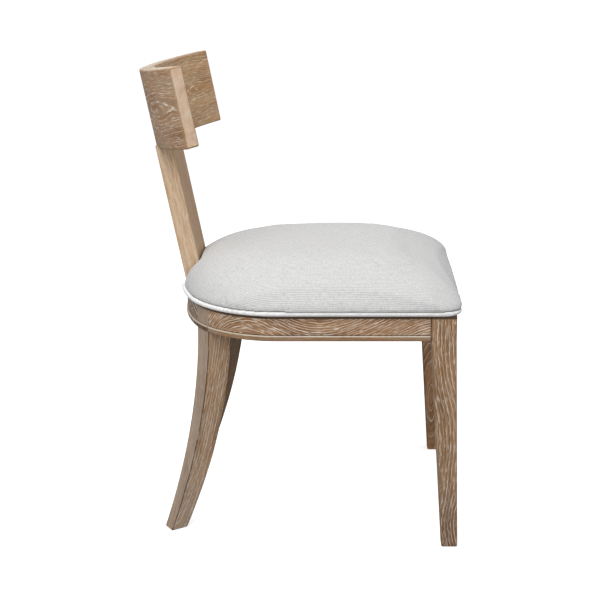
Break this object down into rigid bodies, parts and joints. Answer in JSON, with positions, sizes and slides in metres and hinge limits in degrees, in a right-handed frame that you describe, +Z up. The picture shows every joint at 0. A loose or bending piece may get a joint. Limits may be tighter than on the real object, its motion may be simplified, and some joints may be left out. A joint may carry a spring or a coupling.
{
  "type": "klismos chair",
  "caption": "Klismos dining chair in limed oak: curved crest on one raked splat, horseshoe seat frame with beaded rails, sabre rear legs, tapered front legs, welted linen seat.",
  "frame": {"origin": "on the floor, under the middle of the chair's bounding box", "axes": "+X forward, the way the sitter faces; +Y to the sitter's left; +Z up"},
  "size_m": [0.577, 0.51, 0.8568],
  "materials": {
    "limed_oak": "limed oak, open grain filled with white, matt",
    "beech": "raw beech",
    "plywood": "raw birch plywood",
    "linen": "plain woven linen, off-white",
    "linen_welt": "the same linen, sewn over a cord",
    "foam": "open-cell upholstery foam",
    "cambric": "black dust cloth",
    "steel": "zinc-plated wood screws"
  },
  "bodies": {
    "root": {"front_leg_right": "limed_oak", "rear_leg_right": "limed_oak", "side_rail_right": "limed_oak", "dowel_front_right_1": "beech", "dowel_front_right_2": "beech", "dowel_side_right_1": "beech", "dowel_side_right_2": "beech", "dowel_post_side_right_1": "beech", "dowel_post_side_right_2": "beech", "dowel_post_back_right_1": "beech", "dowel_post_back_right_2": "beech", "corner_block_front_right": "beech", "block_screw_front_right": "steel", "seat_screw_front_right": "steel", "corner_block_rear_right": "beech", "block_screw_rear_right": "steel", "seat_screw_rear_right": "steel", "front_leg_left": "limed_oak", "rear_leg_left": "limed_oak", "side_rail_left": "limed_oak", "dowel_front_left_1": "beech", "dowel_front_left_2": "beech", "dowel_side_left_1": "beech", "dowel_side_left_2": "beech", "dowel_post_side_left_1": "beech", "dowel_post_side_left_2": "beech", "dowel_post_back_left_1": "beech", "dowel_post_back_left_2": "beech", "corner_block_front_left": "beech", "block_screw_front_left": "steel", "seat_screw_front_left": "steel", "corner_block_rear_left": "beech", "block_screw_rear_left": "steel", "seat_screw_rear_left": "steel", "front_rail": "limed_oak", "back_rail": "limed_oak", "splat": "limed_oak", "crest_rail": "limed_oak", "crest_dowel_1": "beech", "crest_dowel_2": "beech", "seat_board": "plywood", "foam_pad": "foam", "seat_cover": "linen", "seat_welt": "linen_welt", "dust_cover": "cambric"}
  },
  "joints": []
}
